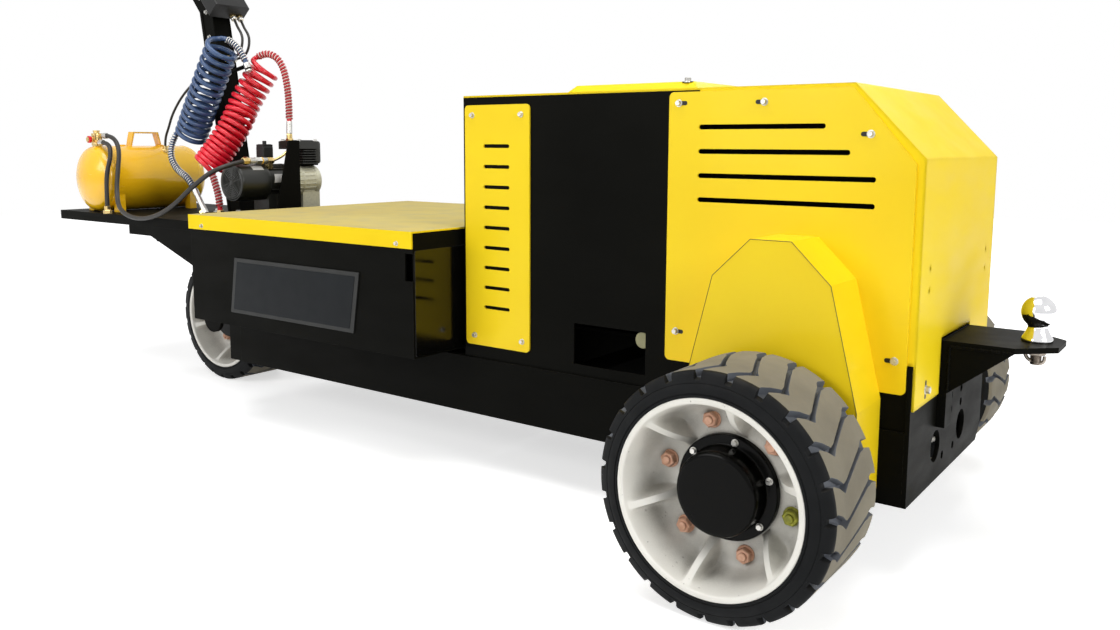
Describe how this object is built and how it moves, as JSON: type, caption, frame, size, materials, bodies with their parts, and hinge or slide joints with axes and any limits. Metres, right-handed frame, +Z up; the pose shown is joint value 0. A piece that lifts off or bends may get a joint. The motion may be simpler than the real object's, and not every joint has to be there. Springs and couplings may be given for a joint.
{
  "type": "terminal tractor",
  "caption": "Battery driven walk-behind yard tractor with a yellow drive housing, a tow ball, a steered wheel, an air compressor and coiled air hoses",
  "frame": {"origin": "on the floor, at the middle of the machine's length and width", "axes": "+X towards the tow ball and the driven wheels, +Z up, -Y the near side of the picture"},
  "size_m": [3.036, 1.188, 1.3427],
  "materials": {
    "yellow_paint": "gloss",
    "black_paint": "satin",
    "rim_paint": "satin",
    "tyre": "matt",
    "hub_paint": "gloss",
    "tank_paint": "gloss",
    "chrome": "polished",
    "steel": "satin",
    "cast_metal": "as cast",
    "brass": "satin",
    "black_plastic": "satin",
    "blue_hose": "satin",
    "red_hose": "gloss",
    "rubber": "matt"
  },
  "bodies": {
    "chassis": {"chassis_frame": "black_paint", "rear_plate": "black_paint", "cabinet_shell": "black_paint", "vent_panels": "yellow_paint", "side_panels": "yellow_paint", "axle_covers": "yellow_paint", "hood": "yellow_paint", "roof_cover": "yellow_paint", "drive_axle": "black_paint", "drive_motor": "black_paint", "gooseneck": "black_paint", "platform": "black_paint", "battery_box": "black_paint", "deck_lid": "yellow_paint", "battery_pack": "black_plastic", "sign_plates": "black_plastic", "coupling": "black_paint", "tow_ball": "chrome", "air_tank": "tank_paint", "tank_valve": "brass", "compressor_base": "black_paint", "compressor_motor": "black_paint", "compressor_pump": "cast_metal", "pump_head": "black_paint", "pressure_switch": "black_plastic", "pump_bracket": "black_paint", "mast": "black_paint", "control_head": "black_plastic", "handlebar": "black_plastic", "air_fittings": "brass", "tank_sender": "brass", "cable_glands": "steel", "blue_coil": "blue_hose", "blue_low_tail": "blue_hose", "blue_high_tail": "blue_hose", "red_coil": "red_hose", "red_low_tail": "red_hose", "red_high_tail": "red_hose", "air_hose": "rubber", "loop_hose": "rubber", "mast_cable": "rubber", "near_head_cable": "rubber", "far_head_cable": "rubber"},
    "near_wheel": {"near_wheel_tyre": "tyre", "near_wheel_rim": "rim_paint", "near_wheel_hub": "hub_paint"},
    "far_wheel": {"far_wheel_tyre": "tyre", "far_wheel_rim": "rim_paint", "far_wheel_hub": "hub_paint"},
    "steering": {"steer_fork": "black_paint"},
    "steer_wheel": {"steer_wheel_tyre": "tyre", "steer_wheel_rim": "rim_paint", "steer_wheel_hub": "hub_paint"}
  },
  "joints": [
    {"name": "near_wheel_spin", "type": "hinge", "parent": "chassis", "child": "near_wheel", "pos_m": [1.124, -0.492, 0.203], "axis": [0, 1, 0], "continuous": true},
    {"name": "far_wheel_spin", "type": "hinge", "parent": "chassis", "child": "far_wheel", "pos_m": [1.124, 0.492, 0.203], "axis": [0, 1, 0], "continuous": true},
    {"name": "steering", "type": "hinge", "parent": "chassis", "child": "steering", "pos_m": [-0.861, 0, 0.46], "axis": [0, 0, 1], "range_deg": [-75, 75]},
    {"name": "steer_wheel_spin", "type": "hinge", "parent": "steering", "child": "steer_wheel", "pos_m": [-0.861, 0, 0.203], "axis": [0, 1, 0], "continuous": true}
  ]
}
